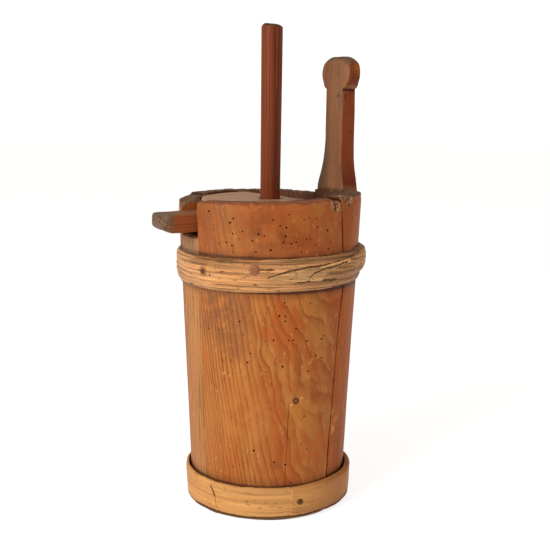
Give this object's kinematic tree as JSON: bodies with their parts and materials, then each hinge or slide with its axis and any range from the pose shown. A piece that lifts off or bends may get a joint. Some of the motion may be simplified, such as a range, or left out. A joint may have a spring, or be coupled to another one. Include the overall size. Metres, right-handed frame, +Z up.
{
  "type": "butter churn",
  "caption": "Tall tapered stave butter churn with wooden hoops, one stave rising as a knobbed grip, a loose lid with a side tab and a plunger rod through its centre.",
  "frame": {"origin": "centre of the staves' bottom ends, on the surface the churn stands on", "axes": "+Z up along the vessel's axis and the dasher rod; +X towards the stave with the grip, so the lid's tab points to -X"},
  "size_m": [0.2519, 0.2179, 0.551],
  "materials": {
    "stave_wood": "dry, lightly polished old softwood",
    "hoop_wood": "bare split wood, satin",
    "peg_wood": "bare wood",
    "bottom_wood": "bare old softwood",
    "lid_wood": "bare, greyed softwood",
    "bar_wood": "bare, hand worn wood",
    "rod_wood": "hand polished dark wood",
    "dasher_wood": "bare old softwood"
  },
  "bodies": {
    "vessel": {"back_left_stave": "stave_wood", "back_middle_stave": "stave_wood", "back_right_stave": "stave_wood", "back_stave": "stave_wood", "front_stave": "stave_wood", "handle_stave": "stave_wood", "notch_stave": "stave_wood", "right_stave": "stave_wood", "bottom_board": "bottom_wood", "upper_hoop": "hoop_wood", "lower_hoop": "hoop_wood", "upper_hoop_peg": "peg_wood", "lower_hoop_peg": "peg_wood"},
    "lid": {"lid_board": "lid_wood", "lid_bar": "bar_wood"},
    "dasher": {"dasher_rod": "rod_wood", "dasher_wedge": "rod_wood", "dasher_disc": "dasher_wood"}
  },
  "joints": [
    {"name": "lid_lift", "type": "slide", "parent": "vessel", "child": "lid", "axis": [0, 0, 1], "range_m": [0, 0.12]},
    {"name": "dasher_stroke", "type": "slide", "parent": "vessel", "child": "dasher", "axis": [0, 0, 1], "range_m": [0, 0.27]}
  ]
}
